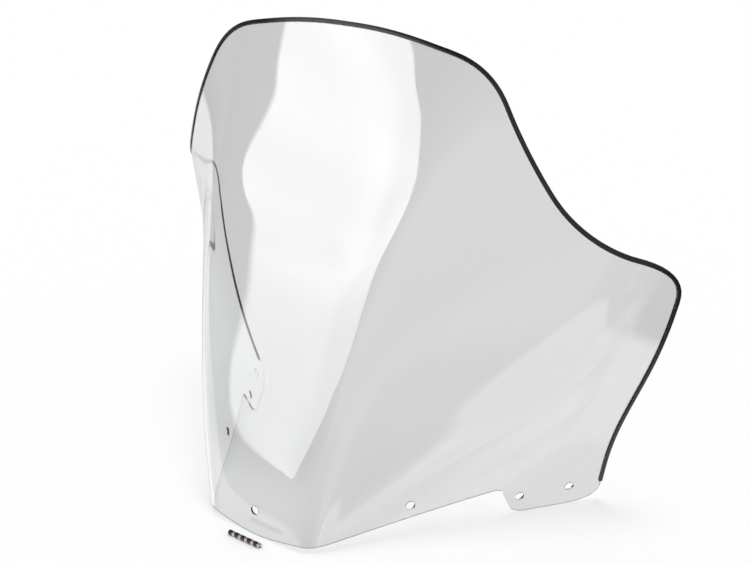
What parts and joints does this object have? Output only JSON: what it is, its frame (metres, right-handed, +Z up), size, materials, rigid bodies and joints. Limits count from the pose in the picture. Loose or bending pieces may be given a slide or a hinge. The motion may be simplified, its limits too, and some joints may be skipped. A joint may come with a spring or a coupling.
{
  "type": "windshield screen",
  "caption": "Clear one-piece motorcycle windshield with a blunt nose, side wings and rear tabs, a rubber edge trim and loose rubber-sleeved fixing inserts.",
  "frame": {"origin": "middle of the assembly's footprint, on the floor that the nose and the rear tabs stand on", "axes": "+Z up, -Y the way the nose points, +X across the screen from wing to wing"},
  "size_m": [0.6826, 0.3148, 0.5374],
  "materials": {
    "clear_sheet": "gloss, clear polycarbonate with a faint grey tint",
    "trim_rubber": "satin black extruded rubber",
    "sleeve_rubber": "smooth moulded black rubber",
    "bush_metal": "plated brass, fine turned marks"
  },
  "bodies": {
    "root": {"screen_sheet": "clear_sheet", "edge_trim": "trim_rubber", "insert_sleeve_1": "sleeve_rubber", "insert_sleeve_2": "sleeve_rubber", "insert_sleeve_3": "sleeve_rubber", "insert_sleeve_4": "sleeve_rubber", "insert_sleeve_5": "sleeve_rubber", "insert_bush_1": "bush_metal", "insert_bush_2": "bush_metal", "insert_bush_3": "bush_metal", "insert_bush_4": "bush_metal", "insert_bush_5": "bush_metal"}
  },
  "joints": []
}
